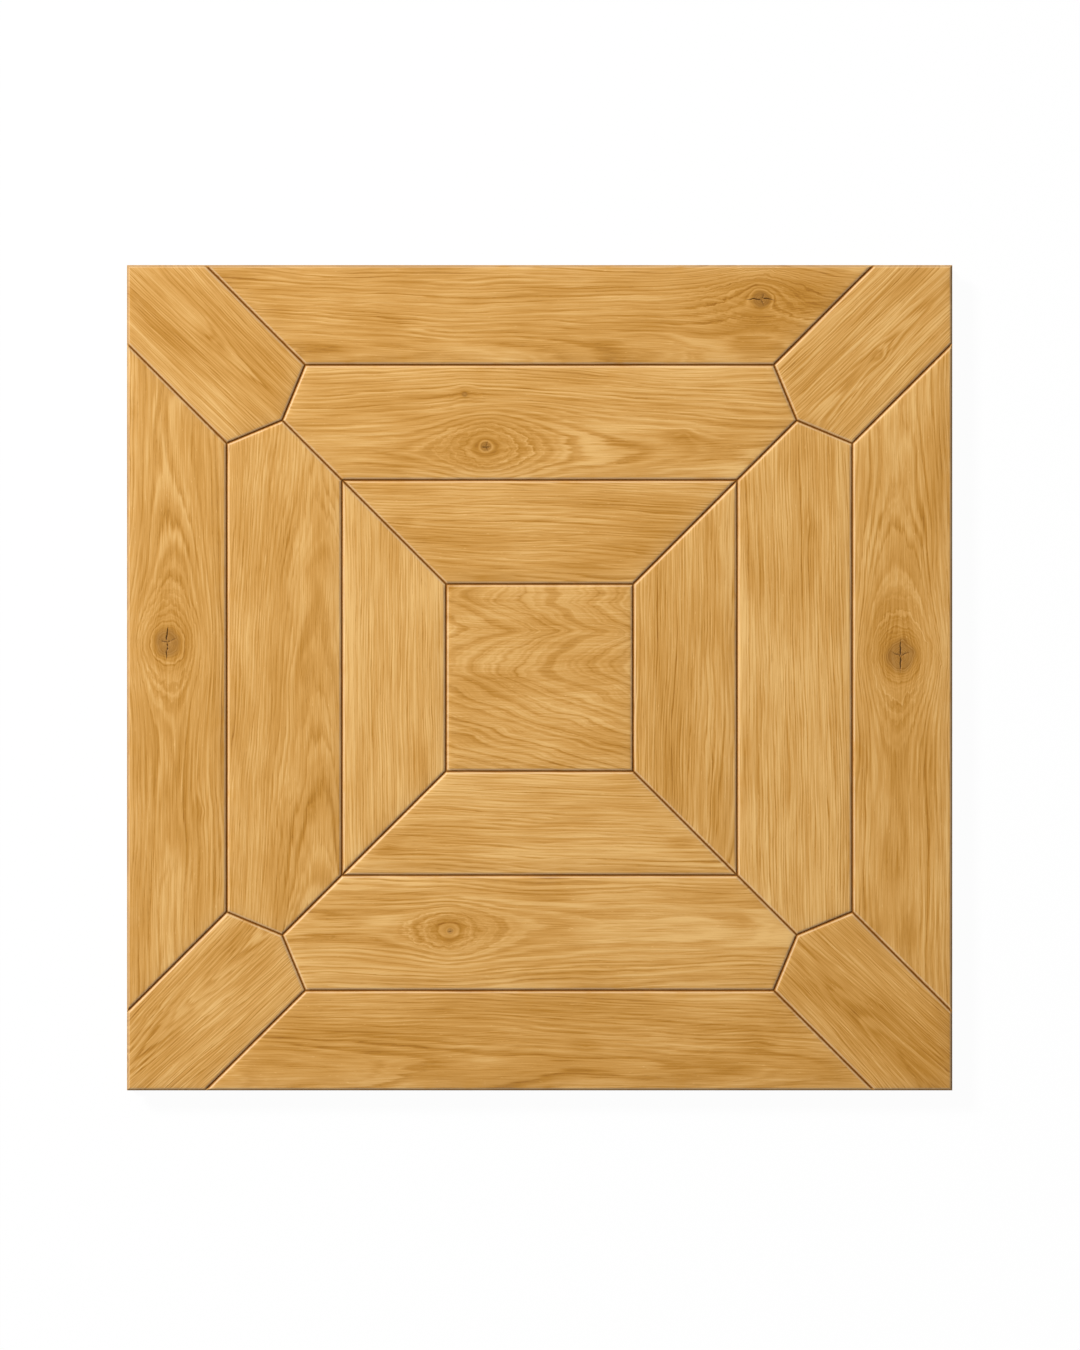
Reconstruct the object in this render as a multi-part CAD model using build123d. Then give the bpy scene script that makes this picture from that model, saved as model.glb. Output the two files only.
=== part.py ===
"""Square parquet panel of solid oak.

Seventeen bevelled blocks lie in three rings: a square centre block, four inner staves, four middle
staves, four outer staves, and a corner block laid along the diagonal in each corner of the panel.
The staves are mitred on the diagonals. Each corner block ends in a blunt nose between two middle
staves. Blocks meet face to face, held by tongues and grooves, and a groove round the whole panel
takes the loose tongues that join it to the next panel.

The panel lies face up. The origin is the middle of its underside, +X and +Y run along its edges and
+Z points out of the face. Sizes are in millimetres.
"""

from build123d import *

import os
from math import radians, sqrt, tan

# Widths, from the centre of the panel outwards
centre_side = 136.0
inner_stave_width = 75.6
middle_stave_width = 83.7
outer_stave_width = 72.7

# The corner blocks lie along the diagonals, and each half of a nose leans back from square by nose_angle
corner_block_width = 80.6
nose_angle = 22.5

# Section of every block
thickness = 20.0
bevel = 1.6

# Tongues and grooves, whose middle lies below the middle of the thickness to leave wood for sanding
groove_height = 5.2
groove_depth = 6.0
groove_drop = 1.0
cheek_clearance = 0.1
tip_clearance = 0.5
tongue_tip_bevel = 0.6

# Groove round the panel for the loose tongues
edge_groove_depth = 8.0

# Distance from the middle of the panel to the outer edge of each ring
centre_reach = centre_side / 2
inner_reach = centre_reach + inner_stave_width
middle_reach = inner_reach + middle_stave_width
panel_reach = middle_reach + outer_stave_width

# A corner block's side runs this far from the diagonal, measured along an edge of the panel
side_offset = corner_block_width / sqrt(2)
nose_length = corner_block_width / 2 * tan(radians(nose_angle))
nose_tip = middle_reach - side_offset / 2 - nose_length / sqrt(2)

groove_middle = thickness / 2 - groove_drop
tongue_thickness = groove_height - 2 * cheek_clearance
tongue_length = groove_depth - tip_clearance

# A tongue stops short of its ends, clear of the tongue that comes in across a 45 degree corner
tongue_setback = groove_depth / (sqrt(2) - 1)
cutter_overrun = 2 * groove_depth

TONGUE = "tongue"
GROOVE = "groove"
PLAIN = "plain"


def edge_plane(start, end):
    """Plane at one end of an outline's edge: X along the edge, Y into the block, at the grooves' middle."""
    run = (end[0] - start[0], end[1] - start[1], 0)
    return Plane(origin=(*start, groove_middle), x_dir=run, z_dir=(0, 0, 1))


def edge_length(start, end):
    """Length of an outline's edge."""
    return (Vector(*end) - Vector(*start)).length


def groove_cutter(start, end):
    """What a groove takes out of a block: it runs out past both ends of the edge."""
    length = edge_length(start, end) + 2 * cutter_overrun
    depth = groove_depth + cutter_overrun
    cutter = Box(length, depth, groove_height, align=(Align.MIN, Align.MIN, Align.CENTER))
    return edge_plane(start, end) * Pos(-cutter_overrun, -cutter_overrun, 0) * cutter


def tongue(start, end):
    """Tongue standing out of an edge, with an eased tip."""
    length = edge_length(start, end) - 2 * tongue_setback
    bar = Box(length, tongue_length, tongue_thickness, align=(Align.MIN, Align.MIN, Align.CENTER))
    tip_edges = bar.faces().sort_by(Axis.Y)[0].edges().filter_by(Axis.X)
    bar = chamfer(tip_edges, tongue_tip_bevel)
    return edge_plane(start, end) * Pos(tongue_setback, -tongue_length, 0) * bar


def panel_edge_groove():
    """The groove round the outside of the laid-up panel."""
    outside = 2 * (panel_reach + cutter_overrun)
    inside = 2 * (panel_reach - edge_groove_depth)
    ring = Box(outside, outside, groove_height) - Box(inside, inside, 2 * groove_height)
    return Pos(0, 0, groove_middle) * ring


def block(outline, joints):
    """One block: a prism with bevelled top edges, and a tongue or groove along each edge of its outline."""
    prism = extrude(make_face(Polyline(*outline, close=True)), amount=thickness)
    body = chamfer(prism.faces().sort_by(Axis.Z)[-1].edges(), bevel)
    edges = list(zip(outline, outline[1:] + outline[:1], joints))
    for start, end, joint in edges:
        if joint == GROOVE:
            body -= groove_cutter(start, end)
    for start, end, joint in edges:
        if joint == TONGUE:
            body += tongue(start, end)
    return body


def centre_block():
    """Square block in the middle, grooved all round."""
    reach = centre_reach
    outline = [(-reach, -reach), (reach, -reach), (reach, reach), (-reach, reach)]
    return block(outline, [GROOVE] * 4)


def inner_stave():
    """Stave north of the centre block, mitred at both ends."""
    outline = [
        (-centre_reach, centre_reach),
        (centre_reach, centre_reach),
        (inner_reach, inner_reach),
        (-inner_reach, inner_reach),
    ]
    return block(outline, [TONGUE, TONGUE, GROOVE, GROOVE])


def middle_stave():
    """Stave north of the inner stave, mitred at both ends and cut back for the two corner blocks."""
    shoulder = middle_reach - side_offset
    outline = [
        (-inner_reach, inner_reach),
        (inner_reach, inner_reach),
        (nose_tip, nose_tip),
        (shoulder, middle_reach),
        (-shoulder, middle_reach),
        (-nose_tip, nose_tip),
    ]
    return block(outline, [TONGUE, TONGUE, TONGUE, GROOVE, TONGUE, GROOVE])


def outer_stave():
    """Stave along the north edge of the panel, cut along the sides of the two corner blocks."""
    shoulder = middle_reach - side_offset
    heel = panel_reach - side_offset
    outline = [
        (-shoulder, middle_reach),
        (shoulder, middle_reach),
        (heel, panel_reach),
        (-heel, panel_reach),
    ]
    return block(outline, [TONGUE, TONGUE, PLAIN, TONGUE]) - panel_edge_groove()


def corner_block():
    """Block in the north east corner, grooved along its sides and its nose."""
    shoulder = middle_reach - side_offset
    heel = panel_reach - side_offset
    outline = [
        (nose_tip, nose_tip),
        (middle_reach, shoulder),
        (panel_reach, heel),
        (panel_reach, panel_reach),
        (heel, panel_reach),
        (shoulder, middle_reach),
    ]
    return block(outline, [GROOVE, GROOVE, PLAIN, PLAIN, GROOVE, GROOVE]) - panel_edge_groove()


def panel():
    """Every block of the panel by its name, each ring laid by quarter turns."""
    blocks = {"centre_block": centre_block()}
    rings = {"inner_stave": inner_stave(), "middle_stave": middle_stave(), "outer_stave": outer_stave()}
    for turn, side in enumerate(["north", "west", "south", "east"]):
        for name, stave in rings.items():
            blocks[f"{name}_{side}"] = Rot(0, 0, 90 * turn) * stave
    corner = corner_block()
    for turn, place in enumerate(["north_east", "north_west", "south_west", "south_east"]):
        blocks[f"corner_block_{place}"] = Rot(0, 0, 90 * turn) * corner
    return blocks


os.makedirs("parts", exist_ok=True)
for name, solid in panel().items():
    export_step(solid, f"parts/{name}.step")
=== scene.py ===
"""The look of a square parquet panel: seventeen oak blocks, oiled on the face and raw on the other sides.

Each block has its own stretch of log. One growth rule lays the rings round the pith and the branches that
grew through them. Timbers, knots, the growth rule and the carved depths are in millimetres. Positions,
meshes, lamps and the camera are in metres.
"""

from dataclasses import dataclass
from math import cos, radians, sin

import bmesh
import bpy
import numpy as np
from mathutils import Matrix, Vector, geometry


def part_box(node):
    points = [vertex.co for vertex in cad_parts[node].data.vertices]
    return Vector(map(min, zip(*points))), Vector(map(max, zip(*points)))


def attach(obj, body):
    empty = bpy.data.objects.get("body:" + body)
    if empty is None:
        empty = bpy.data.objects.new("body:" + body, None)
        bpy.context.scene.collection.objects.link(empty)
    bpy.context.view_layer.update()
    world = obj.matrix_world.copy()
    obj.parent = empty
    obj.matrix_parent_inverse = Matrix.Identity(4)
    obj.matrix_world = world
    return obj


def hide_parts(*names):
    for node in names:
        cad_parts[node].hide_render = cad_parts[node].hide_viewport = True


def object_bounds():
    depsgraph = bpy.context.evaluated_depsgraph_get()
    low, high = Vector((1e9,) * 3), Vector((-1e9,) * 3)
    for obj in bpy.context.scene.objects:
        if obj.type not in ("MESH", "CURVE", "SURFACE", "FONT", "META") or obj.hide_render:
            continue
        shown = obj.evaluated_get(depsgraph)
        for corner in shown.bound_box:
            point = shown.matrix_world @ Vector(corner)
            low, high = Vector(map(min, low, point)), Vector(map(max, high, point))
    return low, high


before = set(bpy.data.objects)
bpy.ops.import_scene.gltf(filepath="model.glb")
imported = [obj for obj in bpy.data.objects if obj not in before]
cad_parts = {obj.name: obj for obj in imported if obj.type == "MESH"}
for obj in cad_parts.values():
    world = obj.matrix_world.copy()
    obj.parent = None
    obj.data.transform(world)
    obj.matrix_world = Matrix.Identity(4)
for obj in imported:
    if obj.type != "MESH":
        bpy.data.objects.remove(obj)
cad_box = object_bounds()

MM = 0.001
face_height = cad_box[1].z

# Rounding of the edges of every block, on top of the bevels that the frame holds
arris_round = 0.7 * MM
seam_round = 0.2 * MM

# Spacing of the carved rows along the grain and of the columns across it, and closer round a knot
row_pitch = 0.6 * MM
column_pitch = 4.0 * MM
knot_row_pitch = 0.25 * MM
knot_column_pitch = 0.8 * MM
knot_row_reach = 3 * MM
knot_column_reach = 14 * MM

# How the face is carved, in millimetres: brushed spring wood, open checks, and edges worn down by sanding
relief_depth = 0.07
check_depth = 0.6
crown_depth = 0.3
crown_width = 11.0

# Shares of a block's texture map, from its top, and the gap between the pieces laid on it
face_map_share = 0.62
underside_map_share = 0.16
map_margin = 0.004

# Edges sharper than this are drawn sharp
crease_angle = radians(28)

# How strongly the oil reflects
gloss = 0.12

# Attribute of the blanks that holds the distance from the rim of the flat face
RIM = "rim_distance"

# A second pith this far across is too far off to shape any ring
NO_FORK = 1000.0

KNOTS_PER_BLOCK = 3


@dataclass
class Knot:
    """A branch below the face or cut through by it, at a place on the panel.

    The branch is the radius of its dark wood, or zero where it stays below the face. The swirl is the
    size of the collar that the stem grew round it. Splits are the lengths of its checks along and
    across the grain, and half their width.
    """

    x: float
    y: float
    swirl: float
    branch: float = 0.0
    splits: tuple = (0.0, 0.0, 0.0)


@dataclass
class Timber:
    """The stretch of log that one block was cut from, in the block's own lie along the grain.

    Grain is the direction of the fibres, in degrees from east. The pith lies so far across from the
    block's middle and so far below its face. Where the stem forks, a second pith lies as deep, at
    fork across. Taper is how fast the log narrows, and sway and wave are how far its rings wander
    over long and short stretches. The rings lie ring_pitch apart. Tone darkens the wood, and figure is
    how strongly its rings show.
    """

    grain: float
    pith: tuple
    fork: float = NO_FORK
    taper: float = 0.03
    sway: float = 3.0
    wave: float = 0.5
    ring_pitch: float = 2.1
    tone: float = 0.0
    figure: float = 1.0
    knots: tuple = ()


EAST_WEST = 0.0
NORTH_SOUTH = 90.0
RISING = 45.0
FALLING = -45.0

timbers = {
    "centre_block": Timber(
        EAST_WEST, (10, 24), fork=60, taper=-0.27, sway=4, wave=3, ring_pitch=5.2, figure=0.9,
    ),
    "inner_stave_north": Timber(
        EAST_WEST, (-46, 38), ring_pitch=1.9, tone=0.04, figure=0.85, knots=(Knot(-101, 113, 2),),
    ),
    "inner_stave_east": Timber(NORTH_SOUTH, (-48, 36), taper=0.02, sway=2, ring_pitch=1.6, tone=0.01),
    "inner_stave_south": Timber(
        EAST_WEST, (-52, 34), ring_pitch=2.0, tone=-0.05, knots=(Knot(-110, -122, 2), Knot(103, -120, 2)),
    ),
    "inner_stave_west": Timber(
        NORTH_SOUTH, (95, 34), taper=0.01, sway=2, wave=0.3, ring_pitch=1.7, tone=-0.12, figure=0.85,
    ),
    "middle_stave_north": Timber(
        EAST_WEST, (-17, 40), taper=0.015, sway=3, tone=-0.03,
        knots=(
            Knot(-39, 168, 10, 4.0, (7, 10, 0.5)),
            Knot(-54.5, 206, 3, 2.0),
            Knot(105, 176, 3),
        ),
    ),
    "middle_stave_east": Timber(
        NORTH_SOUTH, (75, 42), taper=0.02, sway=2, ring_pitch=1.7, tone=-0.06, knots=(Knot(195, 113, 2.5),),
    ),
    "middle_stave_south": Timber(
        EAST_WEST, (1, 42), taper=0.015, sway=3, ring_pitch=2.3, tone=-0.05,
        knots=(Knot(-65, -184, 8.5, 2.4, (3, 4, 0.35)), Knot(142, -176, 3)),
    ),
    "middle_stave_west": Timber(
        NORTH_SOUTH, (-20, 38), taper=0.05, wave=0.7, ring_pitch=1.7, tone=0.02, figure=0.8,
        knots=(Knot(-172, 4, 2), Knot(-166, -96, 2)),
    ),
    "outer_stave_north": Timber(
        EAST_WEST, (-28, 30), sway=4, wave=0.8, ring_pitch=2.6, tone=0.04,
        knots=(Knot(161, 275, 12, 7, (26, 12, 0.6)),),
    ),
    "outer_stave_east": Timber(
        NORTH_SOUTH, (1, 38), taper=0.015, knots=(Knot(262.4, 15.8, 12, 12.5, (28, 17, 0.7)),),
    ),
    "outer_stave_south": Timber(
        EAST_WEST, (-24, 30), sway=4, ring_pitch=2.4, tone=0.1, figure=0.85,
        knots=(Knot(34, -267, 2.5), Knot(158, -267, 3)),
    ),
    "outer_stave_west": Timber(
        NORTH_SOUTH, (7, 38), taper=0.015, tone=0.03, figure=0.85,
        knots=(Knot(-270.5, 25.4, 11.5, 11, (29, 15, 0.7)), Knot(-246, -97, 2.5)),
    ),
    "corner_block_north_east": Timber(
        RISING, (-8, 14), sway=2, ring_pitch=1.4, tone=-0.02, figure=1.15, knots=(Knot(247, 234, 3.5),),
    ),
    "corner_block_north_west": Timber(
        FALLING, (8, 14), sway=2, ring_pitch=1.4, tone=0.03, figure=0.85, knots=(Knot(-236, 245, 3),),
    ),
    "corner_block_south_west": Timber(
        RISING, (12, 16), taper=-0.05, sway=2, ring_pitch=1.4, tone=-0.03, figure=1.2,
    ),
    "corner_block_south_east": Timber(
        FALLING, (-8, 16), taper=-0.04, sway=2, ring_pitch=1.4, tone=0.13, figure=0.85,
        knots=(Knot(248, -239, 3),),
    ),
}


def colour(red, green, blue):
    """A colour of 0 to 255 levels as the linear colour that a socket takes."""
    levels = [level / 255 for level in (red, green, blue)]
    return (*[v / 12.92 if v <= 0.04045 else ((v + 0.055) / 1.055) ** 2.4 for v in levels], 1.0)


class Sketch:
    """Lays nodes in one tree. Each method adds a node and returns the socket that carries its result."""

    def __init__(self, tree):
        self.tree = tree

    def feed(self, socket, value):
        """Links a socket to another, or sets its value."""
        if isinstance(value, bpy.types.NodeSocket):
            self.tree.links.new(value, socket)
        else:
            socket.default_value = value

    def node(self, kind, *values, **settings):
        """A node with its first inputs fed in order."""
        node = self.tree.nodes.new(kind)
        for name, value in settings.items():
            setattr(node, name, value)
        for socket, value in zip(node.inputs, values):
            self.feed(socket, value)
        return node

    def math(self, operation, *values, clamp=False):
        return self.node("ShaderNodeMath", *values, operation=operation, use_clamp=clamp).outputs[0]

    def add(self, first, *others):
        for other in others:
            first = self.math("ADD", first, other)
        return first

    def subtract(self, a, b):
        return self.math("SUBTRACT", a, b)

    def multiply(self, first, *others):
        for other in others:
            first = self.math("MULTIPLY", first, other)
        return first

    def divide(self, a, b):
        return self.math("DIVIDE", a, b)

    def square(self, a):
        return self.multiply(a, a)

    def hypotenuse(self, a, b):
        return self.math("SQRT", self.add(self.square(a), self.square(b)))

    def fade(self, value, zero_at, one_at):
        """0 to 1 as the value goes from zero_at to one_at, eased at both ends."""
        node = self.node("ShaderNodeMapRange", value, zero_at, one_at, interpolation_type="SMOOTHSTEP")
        return node.outputs[0]

    def vector(self, operation, *values):
        return self.node("ShaderNodeVectorMath", *values, operation=operation).outputs[0]

    def scale(self, vector, factor):
        node = self.node("ShaderNodeVectorMath", vector, operation="SCALE")
        self.feed(node.inputs["Scale"], factor)
        return node.outputs[0]

    def combine(self, *values):
        return self.node("ShaderNodeCombineXYZ", *values).outputs[0]

    def separate(self, vector):
        return self.node("ShaderNodeSeparateXYZ", vector).outputs

    def cloud(self, place, size, shift, detail=1.0, roughness=0.5):
        """The outputs of a noise whose patches have about the given size along, across and down."""
        spot = self.vector("ADD", self.vector("DIVIDE", place, size), shift)
        node = self.node("ShaderNodeTexNoise", spot)
        node.inputs["Scale"].default_value = 1.0
        node.inputs["Detail"].default_value = detail
        node.inputs["Roughness"].default_value = roughness
        return node.outputs

    def swing(self, place, size, shift, **finish):
        """Noise about zero, mostly from -1 to 1."""
        return self.multiply(self.subtract(self.cloud(place, size, shift, **finish)[0], 0.5), 2.8)

    def mix(self, share, a, b):
        """One colour into another."""
        node = self.tree.nodes.new("ShaderNodeMix")
        node.data_type = "RGBA"
        node.clamp_factor = True
        self.feed(node.inputs[0], share)
        self.feed(node.inputs[6], a)
        self.feed(node.inputs[7], b)
        return node.outputs[2]


def new_group(name, kind, inputs, outputs):
    """An empty node group with these sockets. Each input is a name, a socket type and a default."""
    group = bpy.data.node_groups.new(name, kind)
    for label, socket_type, default in inputs:
        socket = group.interface.new_socket(label, in_out="INPUT", socket_type=socket_type)
        if default is not None:
            socket.default_value = default
    for label, socket_type in outputs:
        group.interface.new_socket(label, in_out="OUTPUT", socket_type=socket_type)
    sketch = Sketch(group)
    sources = group.nodes.new("NodeGroupInput").outputs
    results = group.nodes.new("NodeGroupOutput").inputs
    return sketch, sources, results


NUMBER = "NodeSocketFloat"
VECTOR = "NodeSocketVector"
COLOUR = "NodeSocketColor"
SHADER_TREE = "ShaderNodeTree"
GEOMETRY_TREE = "GeometryNodeTree"

# What the growth rule takes. A block with fewer knots leaves the sizes of the others at zero.
growth_inputs = [
    ("Centre", VECTOR, (0, 0, 0)),
    ("Turn", NUMBER, 0.0),
    ("Pith Across", NUMBER, 0.0),
    ("Pith Depth", NUMBER, 40.0),
    ("Fork Across", NUMBER, NO_FORK),
    ("Taper", NUMBER, 0.05),
    ("Sway", NUMBER, 4.0),
    ("Wave", NUMBER, 0.5),
    ("Ring Pitch", NUMBER, 2.5),
    ("Seed", NUMBER, 1.0),
]
for number in range(1, KNOTS_PER_BLOCK + 1):
    growth_inputs += [
        (f"Knot {number} Place", VECTOR, (0, 0, 0)),
        (f"Knot {number} Swirl", NUMBER, 0.0),
        (f"Knot {number} Branch", NUMBER, 0.0),
        (f"Knot {number} Splits", VECTOR, (0, 0, 0)),
    ]
growth_outputs = [
    ("Fibre", VECTOR),
    ("Rings", NUMBER),
    ("Early Wood", NUMBER),
    ("Heart", NUMBER),
    ("Halo", NUMBER),
    ("Check", NUMBER),
]


def lay_check(sketch, along, across, length, half_width, shift):
    """A split in the wood that wanders from its line, is thin at its middle and closes in places."""
    course = sketch.combine(along, 0.0, 0.0)
    wander = sketch.cloud(course, (7, 7, 7), shift, detail=2.0)[0]
    off_line = sketch.math("ABSOLUTE", sketch.add(across, sketch.multiply(wander, 4.0), -2.0))
    reach = sketch.divide(along, sketch.add(sketch.multiply(length, 0.5), 0.001))
    closed = sketch.fade(sketch.cloud(course, (3, 3, 3), shift)[0], 0.42, 0.3)
    from_middle = sketch.fade(sketch.math("ABSOLUTE", reach), -0.1, 0.2)
    tapered = sketch.multiply(sketch.subtract(1.0, sketch.square(reach)), from_middle)
    open_width = sketch.multiply(tapered, sketch.subtract(1.0, closed), half_width)
    within = sketch.subtract(sketch.math("MAXIMUM", open_width, 0.0), off_line)
    soft_edge = 0.35
    return sketch.math("DIVIDE", within, soft_edge, clamp=True)


@dataclass
class Branch:
    """One knot as the growth rule takes it: sockets for its place in the block's lie and for its sizes."""

    number: int
    along: bpy.types.NodeSocket
    across: bpy.types.NodeSocket
    swirl: bpy.types.NodeSocket
    radius: bpy.types.NodeSocket
    splits: bpy.types.NodeSocket


def branch_of(sketch, source, number):
    """A knot's sockets, from the inputs of the growth rule."""
    along, across, _ = sketch.separate(source[f"Knot {number} Place"])
    swirl = source[f"Knot {number} Swirl"]
    radius = source[f"Knot {number} Branch"]
    return Branch(number, along, across, swirl, radius, source[f"Knot {number} Splits"])


def block_lie(sketch, source):
    """Millimetres along the block's grain, across it, and up from its face."""
    turned = sketch.node("ShaderNodeVectorRotate", rotation_type="Z_AXIS", invert=True)
    sketch.feed(turned.inputs["Vector"], sketch.vector("SUBTRACT", source["Position"], source["Centre"]))
    sketch.feed(turned.inputs["Angle"], source["Turn"])
    return sketch.scale(turned.outputs[0], 1000.0)


def calm_round(sketch, along, across, branches):
    """How freely the log sways: 1 in plain wood, and towards 0 in the middle of a knot."""
    calm = 1.0
    for branch in branches:
        gap = sketch.hypotenuse(sketch.subtract(along, branch.along), sketch.subtract(across, branch.across))
        gap = sketch.add(sketch.square(gap), 1.0)
        swirled = sketch.square(sketch.multiply(branch.swirl, 1.6))
        calm = sketch.multiply(calm, sketch.divide(gap, sketch.add(gap, swirled)))
    return calm


def parted(sketch, along, fibre, branch):
    """Where the fibres lie across once they part round a branch, wider if it reaches the face."""
    beside = sketch.subtract(fibre, branch.across)
    gap = sketch.hypotenuse(sketch.divide(sketch.subtract(along, branch.along), 1.7), beside)
    gap = sketch.add(sketch.square(gap), 0.5)
    reached = sketch.math("MINIMUM", branch.radius, 1.0)
    push = sketch.multiply(branch.swirl, sketch.add(sketch.multiply(reached, 0.75), 0.4))
    share = sketch.divide(gap, sketch.add(gap, sketch.square(push)))
    return sketch.add(branch.across, sketch.multiply(beside, share))


def stem(sketch, source, along, across, depth):
    """Distance from the nearer pith, with the taper of the log."""
    ring = sketch.hypotenuse(sketch.subtract(across, source["Pith Across"]), depth)
    forked = sketch.hypotenuse(sketch.subtract(across, source["Fork Across"]), depth)
    nearer = sketch.math("SMOOTH_MIN", ring, forked, 3.0)
    return sketch.add(nearer, sketch.multiply(along, source["Taper"]))


def collar(sketch, along, across, branch):
    """How far the stem swelled round a branch, which fades slowly up and down the stem."""
    girth = sketch.add(branch.swirl, 0.01)
    ahead = sketch.divide(sketch.subtract(along, branch.along), sketch.multiply(girth, 2.8))
    beside = sketch.divide(sketch.subtract(across, branch.across), sketch.multiply(girth, 2.2))
    bell = sketch.math("EXPONENT", sketch.multiply(sketch.square(beside), -1.0))
    swell = sketch.divide(bell, sketch.add(sketch.square(ahead), 1.0))
    reached = sketch.math("MINIMUM", branch.radius, 1.0)
    return sketch.multiply(swell, branch.swirl, sketch.add(reached, 0.25))


def branch_wood(sketch, source, lie, branch, shift):
    """What a branch leaves in the face: its own rings, dark heart, darker halo, curly wood and checks."""
    math, add, subtract, multiply = sketch.math, sketch.add, sketch.subtract, sketch.multiply
    along, across, up = sketch.separate(lie)
    ahead = subtract(along, branch.along)
    beside = subtract(across, branch.across)
    round_it = sketch.hypotenuse(sketch.divide(add(ahead, multiply(up, 0.4)), 1.15), beside)
    round_it = multiply(round_it, add(sketch.swing(lie, (9, 7, 12), shift, detail=2.0), 6.0), 1 / 6)
    flame = sketch.hypotenuse(sketch.divide(ahead, 2.4), beside)
    present = math("GREATER_THAN", branch.radius, 0.1)

    at_stem = stem(sketch, source, branch.along, branch.across, source["Pith Depth"])
    outward = multiply(subtract(round_it, branch.radius), 1.4)
    absent = multiply(subtract(1.0, present), 1000.0)
    rings = add(subtract(at_stem, multiply(branch.swirl, 1.25)), outward, absent)

    core = sketch.fade(round_it, add(branch.radius, 0.4), multiply(branch.radius, 0.6))
    bearing = sketch.vector("NORMALIZE", sketch.combine(ahead, beside, 0.0))
    spokes = sketch.swing(bearing, (0.4, 0.4, 0.4), shift)
    heart = multiply(core, present, add(multiply(spokes, 0.2), 0.85))

    smoke_reach = add(multiply(branch.radius, 1.2), multiply(branch.swirl, 1.6))
    smoke = sketch.fade(round_it, smoke_reach, multiply(branch.radius, 0.7))
    smudge = sketch.fade(flame, multiply(branch.swirl, 3.2), multiply(branch.swirl, 0.5))
    halo = math("MAXIMUM", multiply(smoke, present), multiply(smudge, 0.6))

    unruly = sketch.fade(flame, multiply(branch.swirl, 2.4), multiply(branch.swirl, 1.1))
    clear = sketch.fade(round_it, add(branch.radius, 2.0), add(multiply(branch.radius, 1.5), 8.0))
    curly = multiply(unruly, clear, present)

    split_along, split_across, half_width = sketch.separate(branch.splits)
    spot = sketch.vector("ADD", shift, (branch.number, 0.0, 0.0))
    long_check = lay_check(sketch, ahead, beside, split_along, half_width, spot)
    leaning = add(ahead, multiply(math("ABSOLUTE", beside), -0.45))
    cross_check = lay_check(sketch, beside, leaning, split_across, multiply(half_width, 0.8), shift)
    return rings, heart, halo, curly, math("MAXIMUM", long_check, cross_check)


def spring_wood(sketch, source, along, rings, shift):
    """How dark each ring is: rings of uneven width and strength, each dark where its spring wood starts."""
    math, add, multiply = sketch.math, sketch.add, sketch.multiply
    pitch = source["Ring Pitch"]
    spot = sketch.combine(sketch.divide(along, 160.0), sketch.divide(rings, multiply(pitch, 2.4)), 0.0)
    year = add(sketch.divide(rings, pitch), multiply(sketch.swing(spot, (1, 1, 1), shift), 0.6))
    season = math("FRACT", year)
    white = sketch.node("ShaderNodeTexWhiteNoise", noise_dimensions="1D")
    sketch.feed(white.inputs["W"], add(math("FLOOR", year), source["Seed"]))
    strength = add(multiply(white.outputs["Value"], 0.5), 0.35)
    spring = math("MINIMUM", sketch.fade(season, 0.0, 0.18), sketch.fade(season, 0.8, 0.2))
    spot = sketch.combine(sketch.divide(along, 90.0), sketch.divide(rings, 1.8), 0.0)
    patchy = sketch.fade(sketch.cloud(spot, (1, 1, 1), shift, detail=2.0)[0], 0.28, 0.66)
    return multiply(spring, strength, add(multiply(patchy, 0.75), 0.25))


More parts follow.
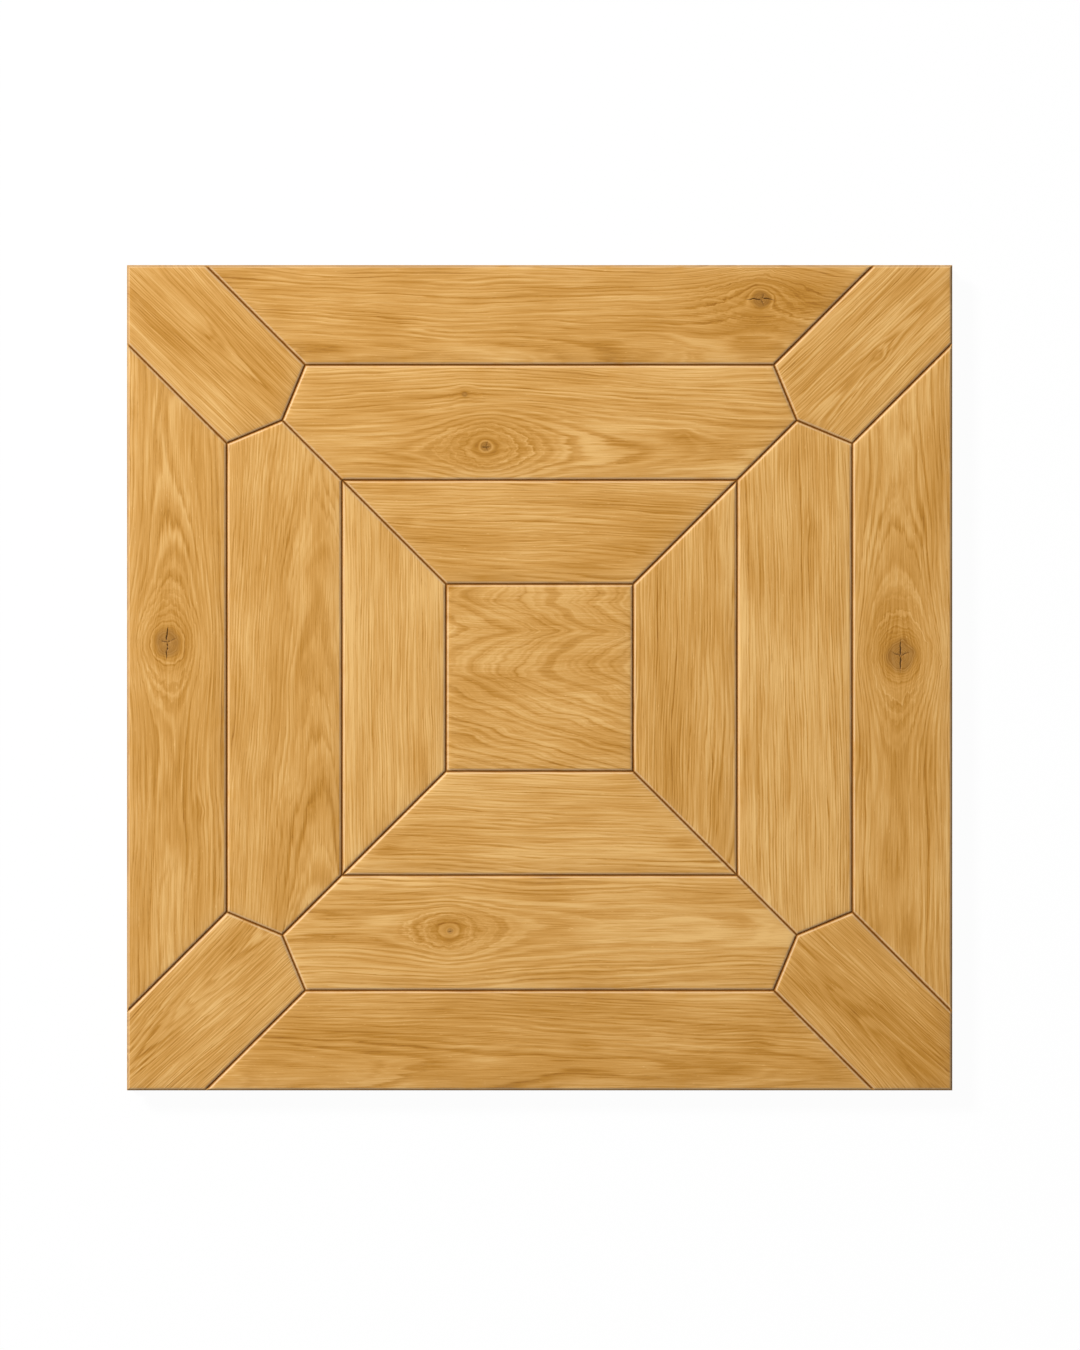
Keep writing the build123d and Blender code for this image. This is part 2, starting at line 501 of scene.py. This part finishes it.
def growth_group(kind):
    """How the log grew: rings round a pith that tapers and sways, pushed aside by branches.

    The same nodes serve a shader tree and a geometry tree.
    """
    sketch, source, result = new_group(
        f"oak growth {kind}", kind, [("Position", VECTOR, None)] + growth_inputs, growth_outputs
    )
    math, add, subtract, multiply = sketch.math, sketch.add, sketch.subtract, sketch.multiply
    lie = block_lie(sketch, source)
    along, across, up = sketch.separate(lie)
    shift = sketch.scale((12.7, 31.1, 47.9), source["Seed"])
    branches = [branch_of(sketch, source, number) for number in range(1, KNOTS_PER_BLOCK + 1)]

    calm = calm_round(sketch, along, across, branches)
    broad = sketch.vector("SUBTRACT", sketch.cloud(lie, (150, 38, 38), shift)[1], (0.5, 0.5, 0.5))
    _, broad_across, broad_up = sketch.separate(sketch.scale(broad, multiply(source["Sway"], calm, 3.0)))
    fibre = add(across, broad_across, multiply(sketch.swing(lie, (28, 9, 11), shift), calm, 0.5))
    depth = add(up, source["Pith Depth"], broad_up)
    for branch in branches:
        fibre = parted(sketch, along, fibre, branch)
    strands = sketch.combine(along, fibre, up)

    rings = stem(sketch, source, along, fibre, depth)
    rings = add(rings, multiply(sketch.swing(lie, (52, 13, 18), shift), source["Wave"], calm))
    for branch in branches:
        rings = subtract(rings, collar(sketch, along, across, branch))

    heart = 0.0
    halo = 0.0
    curly = 0.0
    check = 0.0
    for branch in branches:
        twig, branch_heart, branch_halo, branch_curl, branch_check = branch_wood(
            sketch, source, lie, branch, shift
        )
        rings = math("SMOOTH_MIN", rings, twig, multiply(branch.radius, 0.9))
        heart = math("MAXIMUM", heart, branch_heart)
        halo = math("MAXIMUM", halo, branch_halo)
        curly = math("MAXIMUM", curly, branch_curl)
        check = math("MAXIMUM", check, branch_check)

    # Curly wood round the knots, and a ragged edge on every ring where it runs out along the fibres
    curl = multiply(sketch.swing(lie, (7, 4.5, 7), shift, detail=3.0, roughness=0.6), curly, 1.5)
    ragged = add(
        multiply(sketch.swing(strands, (22, 0.9, 1.1), shift), 0.3),
        multiply(sketch.swing(strands, (45, 2.4, 2.8), shift), 0.5),
    )
    rings = add(rings, curl, multiply(ragged, subtract(1.0, multiply(halo, 0.5))))
    early = spring_wood(sketch, source, along, rings, shift)
    early = multiply(early, subtract(1.0, multiply(heart, 0.5)), subtract(1.0, multiply(halo, 0.25)))

    sketch.feed(result["Fibre"], strands)
    sketch.feed(result["Rings"], rings)
    sketch.feed(result["Early Wood"], early)
    sketch.feed(result["Heart"], heart)
    sketch.feed(result["Halo"], halo)
    sketch.feed(result["Check"], check)
    return sketch.tree


def stain_group():
    """Colour of oiled oak, and the height of its open pores, from how it grew."""
    inputs = [(label, socket_type, None) for label, socket_type in growth_outputs]
    inputs += [("Tone", NUMBER, 0.0), ("Figure", NUMBER, 1.0), ("Seed", NUMBER, 1.0)]
    outputs = [("Colour", COLOUR), ("Roughness", NUMBER), ("Height", NUMBER)]
    sketch, source, result = new_group("oiled oak", SHADER_TREE, inputs, outputs)
    add, multiply = sketch.add, sketch.multiply
    fibre = source["Fibre"]
    early = source["Early Wood"]
    shift = sketch.scale((8.3, 19.7, 5.9), source["Seed"])

    hair = sketch.swing(fibre, (36, 0.7, 0.9), shift, detail=2.0, roughness=0.6)
    streak = sketch.swing(fibre, (90, 2.6, 3.4), shift, detail=2.0)
    patch = sketch.swing(fibre, (90, 24, 30), shift, detail=2.0)
    line_spot = sketch.combine(sketch.divide(sketch.separate(fibre)[0], 110.0), source["Rings"], 0.0)
    lines = sketch.swing(line_spot, (1, 0.95, 1), shift, detail=1.0)
    pores = sketch.fade(sketch.cloud(fibre, (5, 0.3, 0.3), shift)[0], 0.6, 0.72)
    pores = multiply(pores, add(multiply(early, 0.8), 0.2))
    flecks = sketch.fade(sketch.cloud(fibre, (5, 0.8, 1.0), sketch.scale(shift, 2.0))[0], 0.73, 0.8)

    lines = multiply(lines, add(multiply(source["Halo"], 0.4), 0.8))
    figured = add(multiply(early, 0.46), multiply(lines, 0.24), multiply(streak, 0.06))
    figured = multiply(figured, source["Figure"])
    hairs = multiply(hair, add(multiply(early, 0.14), 0.25))
    marks = add(hairs, multiply(pores, 0.22), multiply(flecks, -0.22))
    broad = add(multiply(patch, 0.23), multiply(source["Halo"], 0.26))
    ramp = sketch.node("ShaderNodeValToRGB", add(0.23, figured, marks, broad, source["Tone"]))

    # From the palest wood to the darkest
    stops = [
        (0.0, colour(234, 188, 118)),
        (0.3, colour(211, 157, 83)),
        (0.6, colour(187, 131, 52)),
        (1.0, colour(143, 88, 24)),
    ]
    while len(ramp.color_ramp.elements) < len(stops):
        ramp.color_ramp.elements.new(0.5)
    for element, (position, shade) in zip(ramp.color_ramp.elements, stops):
        element.position = position
        element.color = shade
    wood = ramp.outputs[0]
    wood = sketch.mix(multiply(source["Heart"], 0.6), wood, colour(140, 96, 44))
    wood = sketch.mix(multiply(source["Check"], 0.85), wood, colour(76, 48, 18))

    sketch.feed(result["Colour"], wood)
    sketch.feed(result["Roughness"], add(0.4, multiply(early, 0.12), multiply(pores, 0.2)))
    sketch.feed(result["Height"], add(multiply(pores, -0.08), multiply(hair, 0.02), multiply(lines, -0.03)))
    return sketch.tree


def finish_group():
    """Rims and arrises paled by wear and painted highlight, seams darkened by stain and painted shade,
    darker outer bevels, raw sides.
    """
    inputs = [
        ("Position", VECTOR, None),
        ("Normal", VECTOR, None),
        ("Rim Distance", NUMBER, 0.0),
        ("Colour", COLOUR, None),
        ("Roughness", NUMBER, None),
        ("Face Height", NUMBER, 0.0),
        ("Bevel", NUMBER, 0.0),
        ("Panel Reach", NUMBER, 0.0),
        ("Seed", NUMBER, 1.0),
    ]
    outputs = [("Colour", COLOUR), ("Roughness", NUMBER)]
    sketch, source, result = new_group("oak edges", SHADER_TREE, inputs, outputs)
    multiply = sketch.multiply
    lie = sketch.scale(source["Position"], 1000.0)
    shift = sketch.scale((3.1, 7.7, 1.9), source["Seed"])
    place_x, place_y, height = sketch.separate(source["Position"])
    farther = sketch.math("MAXIMUM", sketch.math("ABSOLUTE", place_x), sketch.math("ABSOLUTE", place_y))
    inside = sketch.divide(sketch.subtract(source["Panel Reach"], farther), source["Bevel"])
    below = sketch.divide(sketch.subtract(source["Face Height"], height), source["Bevel"])
    upward = sketch.separate(source["Normal"])[2]
    pale = colour(248, 216, 160)

    # Patchy noise that varies both the edge wear and the painted light on the edges
    wear_and_sheen_patches = sketch.cloud(lie, (14, 14, 14), shift, detail=2.0)[0]
    # Paler band within 14 mm of the face's rim: partly wear, partly painted light along the edges
    wear_and_painted_rim_light = multiply(sketch.fade(source["Rim Distance"], 14.0, 0.0), sketch.fade(wear_and_sheen_patches, 0.25, 0.6), 0.05)
    wood = sketch.mix(wear_and_painted_rim_light, source["Colour"], pale)
    # Pale arrises: partly wear, partly a painted highlight along the rounded edges
    arris = multiply(sketch.fade(source["Rim Distance"], 0.6, 0.0), sketch.fade(below, 0.65, 0.4))
    wear_and_painted_highlight = multiply(arris, sketch.fade(wear_and_sheen_patches, 0.1, 0.5), 0.55)
    wood = sketch.mix(wear_and_painted_highlight, wood, colour(224, 194, 154))
    # Dark seams at the foot of the bevels: partly stain in the joints, partly painted shade in the grooves
    seam_stain_and_shade = multiply(sketch.fade(below, 0.45, 0.85), sketch.fade(inside, 0.9, 1.1))
    wood = sketch.mix(multiply(seam_stain_and_shade, 0.9), wood, colour(124, 70, 8))
    # Darker outer bevels round the panel's rim
    outer_bevel_darkening = sketch.fade(inside, 1.1, 0.7)
    wood = sketch.mix(multiply(outer_bevel_darkening, 0.4), wood, colour(120, 88, 50))
    raw = multiply(sketch.fade(upward, 0.3, 0.1), sketch.fade(below, 1.15, 1.3))
    planed = sketch.mix(0.55, source["Colour"], colour(206, 176, 134))
    wood = sketch.mix(raw, wood, planed)
    rough = sketch.add(source["Roughness"], multiply(raw, 0.35), multiply(seam_stain_and_shade, 0.2))
    sketch.feed(result["Colour"], wood)
    sketch.feed(result["Roughness"], rough)
    return sketch.tree


def carving_tree(growth):
    """Carves a block's face: brushed spring wood, open checks and worn edges. Below the bevel it stays."""
    inputs = [
        ("Block", "NodeSocketGeometry", None),
        ("Material", "NodeSocketMaterial", None),
        ("Face Height", NUMBER, 0.0),
        ("Bevel", NUMBER, 0.0),
        ("Relief Depth", NUMBER, 0.0),
        ("Check Depth", NUMBER, 0.0),
        ("Crown Depth", NUMBER, 0.0),
        ("Crown Width", NUMBER, 1.0),
    ]
    sketch, source, result = new_group(
        "carve a face", GEOMETRY_TREE, inputs + growth_inputs, [("Block", "NodeSocketGeometry")]
    )
    position = sketch.node("GeometryNodeInputPosition").outputs[0]
    grown = sketch.node("GeometryNodeGroup", node_tree=growth)
    sketch.feed(grown.inputs["Position"], position)
    for label, _, _ in growth_inputs:
        sketch.feed(grown.inputs[label], source[label])
    rim = sketch.node("GeometryNodeInputNamedAttribute", RIM, data_type="FLOAT").outputs["Attribute"]
    bevel_foot = sketch.subtract(source["Face Height"], source["Bevel"])
    reach = sketch.fade(sketch.separate(position)[2], bevel_foot, source["Face Height"])
    brushed = sketch.multiply(grown.outputs["Early Wood"], source["Relief Depth"])
    split = sketch.multiply(grown.outputs["Check"], source["Check Depth"])
    edge = sketch.math("SUBTRACT", 1.0, sketch.divide(rim, source["Crown Width"]), clamp=True)
    crown = sketch.multiply(sketch.square(edge), source["Crown Depth"])
    depth = sketch.multiply(sketch.add(crown, sketch.math("MAXIMUM", brushed, split)), reach, -MM)
    carved = sketch.node("GeometryNodeSetPosition", source["Block"])
    sketch.feed(carved.inputs["Offset"], sketch.combine(0.0, 0.0, depth))
    oiled = sketch.node("GeometryNodeSetMaterial", carved.outputs[0])
    sketch.feed(oiled.inputs["Material"], source["Material"])
    sketch.feed(result["Block"], oiled.outputs[0])
    return sketch.tree


def block_centre(name):
    """Middle of a block's box, at the height of the face."""
    low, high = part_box(name)
    return Vector(((low.x + high.x) / 2, (low.y + high.y) / 2, face_height))


def seed_of(name):
    """A block's own seed for every noise."""
    return float(list(timbers).index(name) + 1)


def lie_directions(name):
    """Unit vectors along and across a block's grain."""
    turn = radians(timbers[name].grain)
    return Vector((cos(turn), sin(turn), 0)), Vector((-sin(turn), cos(turn), 0))


def in_lie(name, point):
    """A point of the panel's face as metres along and across a block's grain, from the block's middle."""
    along, across = lie_directions(name)
    offset = point - block_centre(name).to_2d()
    return offset.dot(along.to_2d()), offset.dot(across.to_2d())


def growth_values(name):
    """The growth rule's inputs for one block."""
    timber = timbers[name]
    centre = block_centre(name)
    pith_across, pith_depth = timber.pith
    values = {
        "Centre": tuple(centre),
        "Turn": radians(timber.grain),
        "Pith Across": float(pith_across),
        "Pith Depth": float(pith_depth),
        "Fork Across": float(timber.fork),
        "Taper": timber.taper,
        "Sway": float(timber.sway),
        "Wave": timber.wave,
        "Ring Pitch": timber.ring_pitch,
        "Seed": seed_of(name),
    }
    for number, knot in enumerate(timber.knots, start=1):
        along, across = in_lie(name, Vector((knot.x, knot.y)) * MM)
        values[f"Knot {number} Place"] = (along / MM, across / MM, 0.0)
        values[f"Knot {number} Swirl"] = float(knot.swirl)
        values[f"Knot {number} Branch"] = float(knot.branch)
        values[f"Knot {number} Splits"] = knot.splits
    return values


def bevel_depth(name):
    """Height of the bevel, from the two highest levels of the block's corners."""
    levels = sorted({round(vertex.co.z, 6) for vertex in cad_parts[name].data.vertices})
    return levels[-1] - levels[-2]


def oak_material(name, groups):
    """The oak of one block."""
    timber = timbers[name]
    material = bpy.data.materials.new(f"oak of {name}")
    material.use_nodes = True
    sketch = Sketch(material.node_tree)
    principled = material.node_tree.nodes["Principled BSDF"]
    position = sketch.node("ShaderNodeTexCoord").outputs["Object"]
    normal = sketch.node("ShaderNodeNewGeometry").outputs["True Normal"]

    grown = sketch.node("ShaderNodeGroup", position, node_tree=groups["growth"])
    for label, value in growth_values(name).items():
        grown.inputs[label].default_value = value
    oiled = sketch.node("ShaderNodeGroup", node_tree=groups["stain"])
    for label, _ in growth_outputs:
        sketch.feed(oiled.inputs[label], grown.outputs[label])
    oiled.inputs["Tone"].default_value = timber.tone
    oiled.inputs["Figure"].default_value = timber.figure
    oiled.inputs["Seed"].default_value = seed_of(name)
    rim = sketch.node("ShaderNodeAttribute", attribute_name=RIM).outputs["Fac"]
    edged = sketch.node("ShaderNodeGroup", position, normal, rim, node_tree=groups["finish"])
    sketch.feed(edged.inputs["Colour"], oiled.outputs["Colour"])
    sketch.feed(edged.inputs["Roughness"], oiled.outputs["Roughness"])
    edged.inputs["Face Height"].default_value = face_height
    edged.inputs["Bevel"].default_value = bevel_depth(name)
    edged.inputs["Panel Reach"].default_value = cad_box[1].x
    edged.inputs["Seed"].default_value = seed_of(name)
    principled.inputs["Specular IOR Level"].default_value = gloss
    sketch.feed(principled.inputs["Base Color"], edged.outputs["Colour"])
    sketch.feed(principled.inputs["Roughness"], edged.outputs["Roughness"])
    bump = sketch.node("ShaderNodeBump")
    bump.inputs["Strength"].default_value = 1.0
    bump.inputs["Distance"].default_value = MM
    sketch.feed(bump.inputs["Height"], oiled.outputs["Height"])
    sketch.feed(principled.inputs["Normal"], bump.outputs[0])
    return material


def spaced(low, high, pitch, close_pitch, spots, reach):
    """Places from low to high at one pitch, and at a closer one within reach of any of the spots."""
    places = []
    place = low
    while place < high:
        near = any(abs(place - spot) < reach for spot in spots)
        place += close_pitch if near else pitch
        places.append(place)
    return places


def score(mesh, faces, origin, direction, places):
    """Cuts faces with planes square to a direction, at these distances from the origin."""
    corners = dict.fromkeys(vertex for face in faces for vertex in face.verts)
    edges = dict.fromkeys(edge for face in faces for edge in face.edges)
    pieces = [*corners, *edges, *faces]
    for place in places:
        cut = bmesh.ops.bisect_plane(
            mesh, geom=pieces, dist=1e-7, plane_co=origin + direction * place, plane_no=direction
        )
        pieces = cut["geom"]
    return [piece for piece in pieces if isinstance(piece, bmesh.types.BMFace)]


def is_between(edge, low_side, high_side):
    """True if one face of an edge has its upward normal in the first range, and one in the second."""
    if len(edge.link_faces) != 2:
        return False
    slopes = sorted(face.normal.z for face in edge.link_faces)
    return low_side[0] <= slopes[0] <= low_side[1] and high_side[0] <= slopes[1] <= high_side[1]


def spread(chart, faces, along, across, low, high):
    """Fits faces into the full width of the map, between two heights, as seen along one direction."""
    loops = [loop for face in faces for loop in face.loops]
    widths = [loop.vert.co.dot(along) for loop in loops]
    heights = [loop.vert.co.dot(across) for loop in loops]
    left, right = min(widths), max(widths)
    bottom, top = min(heights), max(heights)
    for loop, width, height in zip(loops, widths, heights):
        u = (width - left) / (right - left)
        v = (height - bottom) / (top - bottom)
        loop[chart].uv = (map_margin + u * (1 - 2 * map_margin), low + v * (high - low))


def shelve(chart, faces, share):
    """Lays each face as a strip on a shelf, with the shelves in the lowest share of the map."""
    strips = []
    for face in faces:
        run = max((edge.verts[1].co - edge.verts[0].co for edge in face.edges), key=lambda d: d.length)
        run = run.normalized()
        rise = face.normal.cross(run)
        runs = [vertex.co.dot(run) for vertex in face.verts]
        rises = [vertex.co.dot(rise) for vertex in face.verts]
        strips.append((max(runs) - min(runs), max(rises) - min(rises), face, run, rise))
    strips.sort(key=lambda strip: (-strip[0], strip[2].index))
    longest = strips[0][0]
    shelves = []
    for strip in strips:
        width = strip[0] / longest + map_margin
        shelf = next((shelf for shelf in shelves if shelf["used"] + width <= 1 - map_margin), None)
        if shelf is None:
            shelf = {"used": map_margin, "height": 0.0, "strips": []}
            shelves.append(shelf)
        shelf["strips"].append((shelf["used"], strip))
        shelf["used"] += width
        shelf["height"] = max(shelf["height"], strip[1])
    free_height = share - map_margin * (len(shelves) + 1)
    stretch = free_height / sum(shelf["height"] for shelf in shelves)
    foot = map_margin
    for shelf in shelves:
        for start, (_, _, face, run, rise) in shelf["strips"]:
            first = min(vertex.co.dot(run) for vertex in face.verts)
            lowest = min(vertex.co.dot(rise) for vertex in face.verts)
            for loop in face.loops:
                u = start + (loop.vert.co.dot(run) - first) / longest * (1 - 3 * map_margin)
                v = foot + (loop.vert.co.dot(rise) - lowest) * stretch
                loop[chart].uv = (u, v)
        foot += shelf["height"] * stretch + map_margin


def lay_map(mesh, name, face):
    """Lays the block's texture map: its face at the top, then its underside, and every side below them."""
    along, across = lie_directions(name)
    chart = mesh.loops.layers.uv.new("OFBake")
    underside = [f for f in mesh.faces if f.normal.z < -0.9 and f.calc_center_median().z < MM]
    side_share = 1 - face_map_share - underside_map_share
    spread(chart, face, along, across, 1 - face_map_share, 1 - map_margin)
    spread(chart, underside, along, across, side_share + map_margin, 1 - face_map_share - map_margin)
    laid = {*face, *underside}
    shelve(chart, [f for f in mesh.faces if f not in laid], side_share)


def convex_outline(points):
    """Corners of the convex outline round some points, anticlockwise."""
    places = sorted({(round(point.x, 6), round(point.y, 6)) for point in points})
    outline = [Vector(places[i]) for i in geometry.convex_hull_2d(places)]
    area = sum(a.cross(b) for a, b in zip(outline, outline[1:] + outline[:1]))
    return outline if area > 0 else outline[::-1]


def mark_rim(data, name):
    """Stores every vertex's distance in millimetres from the rim of the flat face, zero outside it."""
    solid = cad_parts[name].data
    flat = [f for f in solid.polygons if f.normal.z > 0.9 and f.center.z > face_height - 0.1 * MM]
    corners = convex_outline(solid.vertices[i].co for f in flat for i in f.vertices)
    places = np.empty(len(data.vertices) * 3, dtype=np.float32)
    data.vertices.foreach_get("co", places)
    places = places.reshape(-1, 3)[:, :2]
    distance = np.full(len(places), np.inf)
    for start, end in zip(corners, corners[1:] + corners[:1]):
        run = (end - start).normalized()
        inward = np.array([-run.y, run.x])
        distance = np.minimum(distance, (places - np.array(start)) @ inward)
    rim = data.attributes.new(RIM, "FLOAT", "POINT")
    rim.data.foreach_set("value", np.maximum(distance / MM, 0.0).astype(np.float32))


def scored_blank(name):
    """A copy of a block's solid with rounded arrises and a face cut into rows along the grain."""
    bevel = bevel_depth(name)
    mesh = bmesh.new()
    mesh.from_mesh(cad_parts[name].data)
    bmesh.ops.remove_doubles(mesh, verts=mesh.verts, dist=1e-6)
    bmesh.ops.dissolve_limit(
        mesh, angle_limit=radians(1), verts=mesh.verts, edges=mesh.edges, delimit={"NORMAL"}
    )
    mesh.normal_update()
    wall, sloped, flat = (-0.1, 0.1), (0.5, 0.9), (0.95, 1.1)
    at_seam = face_height - bevel
    arrises = [edge for edge in mesh.edges if is_between(edge, sloped, flat)]
    seams = [
        edge
        for edge in mesh.edges
        if is_between(edge, wall, sloped) and abs(edge.verts[0].co.z - at_seam) < 1e-5
    ]
    rounding = {"affect": "EDGES", "profile": 0.5, "clamp_overlap": True}
    bmesh.ops.bevel(mesh, geom=arrises, offset=arris_round, segments=3, **rounding)
    bmesh.ops.bevel(mesh, geom=seams, offset=seam_round, segments=2, **rounding)
    mesh.normal_update()

    # All that looks up at the top of the block is mapped as its face, and what slopes gently is carved
    origin = block_centre(name)
    along, across = lie_directions(name)
    mesh.faces.index_update()
    top = [f for f in mesh.faces if f.normal.z > 0.05 and f.calc_center_median().z > at_seam - seam_round]
    lay_map(mesh, name, top)
    face = [f for f in top if f.normal.z > 0.3]
    corners = [vertex.co - origin for f in face for vertex in f.verts]
    knots = [in_lie(name, Vector((knot.x, knot.y)) * MM) for knot in timbers[name].knots]
    knot_rows = [place_across for _, place_across in knots]
    knot_columns = [place_along for place_along, _ in knots]
    rows = spaced(
        min(c.dot(across) for c in corners), max(c.dot(across) for c in corners),
        row_pitch, knot_row_pitch, knot_rows, knot_row_reach,
    )
    columns = spaced(
        min(c.dot(along) for c in corners), max(c.dot(along) for c in corners),
        column_pitch, knot_column_pitch, knot_columns, knot_column_reach,
    )
    face = score(mesh, face, origin, across, rows)
    score(mesh, face, origin, along, columns)

    data = bpy.data.meshes.new(f"{name}_blank")
    mesh.to_mesh(data)
    mesh.free()
    mark_rim(data, name)
    blank = bpy.data.objects.new(f"{name}_blank", data)
    bpy.context.scene.collection.objects.link(blank)
    return blank


def set_input(modifier, label, value):
    """Sets one named input of a geometry nodes modifier."""
    for item in modifier.node_group.interface.items_tree:
        if item.item_type == "SOCKET" and item.in_out == "INPUT" and item.name == label:
            modifier[item.identifier] = value


def carved_block(name, tree, material):
    """One block with its face carved, as a plain mesh."""
    blank = scored_blank(name)
    modifier = blank.modifiers.new("carving", "NODES")
    modifier.node_group = tree
    values = growth_values(name)
    values["Material"] = material
    values["Face Height"] = face_height
    values["Bevel"] = bevel_depth(name)
    values["Relief Depth"] = relief_depth
    values["Check Depth"] = check_depth
    values["Crown Depth"] = crown_depth
    values["Crown Width"] = crown_width
    for label, value in values.items():
        set_input(modifier, label, value)
    bpy.context.view_layer.update()
    graph = bpy.context.evaluated_depsgraph_get()
    data = bpy.data.meshes.new_from_object(blank.evaluated_get(graph), depsgraph=graph)
    bpy.data.objects.remove(blank)
    data.name = f"{name}_timber"
    data.shade_smooth()
    data.set_sharp_from_angle(angle=crease_angle)
    block = bpy.data.objects.new(f"{name}_timber", data)
    bpy.context.scene.collection.objects.link(block)
    return block


def seen_white(sketch):
    """1 on the rays that show the background: straight to the camera, or by a gloss or a glass."""
    path = sketch.node("ShaderNodeLightPath").outputs
    shown = sketch.math("MAXIMUM", path["Is Camera Ray"], path["Is Glossy Ray"])
    return sketch.math("MAXIMUM", shown, path["Is Transmission Ray"])


def pale_floor():
    """A white floor that keeps a faint shadow."""
    side = 30.0
    drop = 0.2 * MM
    data = bpy.data.meshes.new("floor")
    corners = [(-side, -side, -drop), (side, -side, -drop), (side, side, -drop), (-side, side, -drop)]
    data.from_pydata(corners, [], [(0, 1, 2, 3)])
    material = bpy.data.materials.new("white floor")
    material.use_nodes = True
    tree = material.node_tree
    sketch = Sketch(tree)
    tree.nodes.remove(tree.nodes["Principled BSDF"])

    # Matt white to the light in the scene, and in the picture a white glow with a veil that takes shadow
    matt = sketch.node("ShaderNodeBsdfDiffuse", (0.8, 0.8, 0.8, 1)).outputs[0]
    veil = sketch.node("ShaderNodeBsdfDiffuse", (0.03, 0.03, 0.03, 1)).outputs[0]
    glow = sketch.node("ShaderNodeEmission", (1, 1, 1, 1), 0.97).outputs[0]
    bright = sketch.node("ShaderNodeAddShader", veil, glow).outputs[0]
    shown = sketch.node("ShaderNodeMixShader", seen_white(sketch), matt, bright).outputs[0]
    sketch.feed(tree.nodes["Material Output"].inputs["Surface"], shown)
    data.materials.append(material)
    floor = bpy.data.objects.new("floor", data)
    bpy.context.scene.collection.objects.link(floor)


def studio_light():
    """An even white world, and one large soft lamp on the upper left of the view."""
    world = bpy.data.worlds.new("studio")
    world.use_nodes = True
    bpy.context.scene.world = world
    sketch = Sketch(world.node_tree)
    fill = 0.14
    background = world.node_tree.nodes["Background"]
    background.inputs["Color"].default_value = (1, 1, 1, 1)
    sketch.feed(background.inputs["Strength"], sketch.math("MAXIMUM", seen_white(sketch), fill))

    bearing = radians(140)
    elevation = radians(37)
    distance = 6.5
    data = bpy.data.lights.new("window light", "AREA")
    data.shape = "DISK"
    data.size = 1.4
    data.energy = 585.0
    lamp = bpy.data.objects.new("window light", data)
    level = cos(elevation)
    towards = Vector((level * cos(bearing), level * sin(bearing), sin(elevation)))
    lamp.location = towards * distance
    lamp.rotation_mode = "QUATERNION"
    lamp.rotation_quaternion = (-towards).to_track_quat("-Z", "Y")
    lamp.visible_camera = False
    bpy.context.scene.collection.objects.link(lamp)


def camera_above():
    """A camera with a long lens straight above the panel, framed as the photograph is."""
    # In pixels: the picture's height, the panel's side, and how far left and low the panel lies in it
    picture_height = 1350
    panel_in_picture = 825.8
    panel_left_in_picture = 0.35
    panel_low_in_picture = 2.75
    data = bpy.data.cameras.new("camera")
    data.lens = 100.0
    data.sensor_width = 36.0
    panel_side = cad_box[1].x - cad_box[0].x
    picture_metres = panel_side / panel_in_picture * picture_height
    camera = bpy.data.objects.new("camera", data)
    distance = picture_metres * data.lens / data.sensor_width
    step = panel_side / panel_in_picture
    camera.location = (
        panel_left_in_picture * step,
        panel_low_in_picture * step,
        face_height + distance,
    )
    bpy.context.scene.collection.objects.link(camera)
    bpy.context.scene.camera = camera


camera_above()
studio_light()
pale_floor()
groups = {
    "growth": growth_group(SHADER_TREE),
    "stain": stain_group(),
    "finish": finish_group(),
}
carving = carving_tree(growth_group(GEOMETRY_TREE))
for name in timbers:
    block = carved_block(name, carving, oak_material(name, groups))
    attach(block, "root")
    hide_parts(name)

bpy.context.scene.view_settings.view_transform = "Standard"
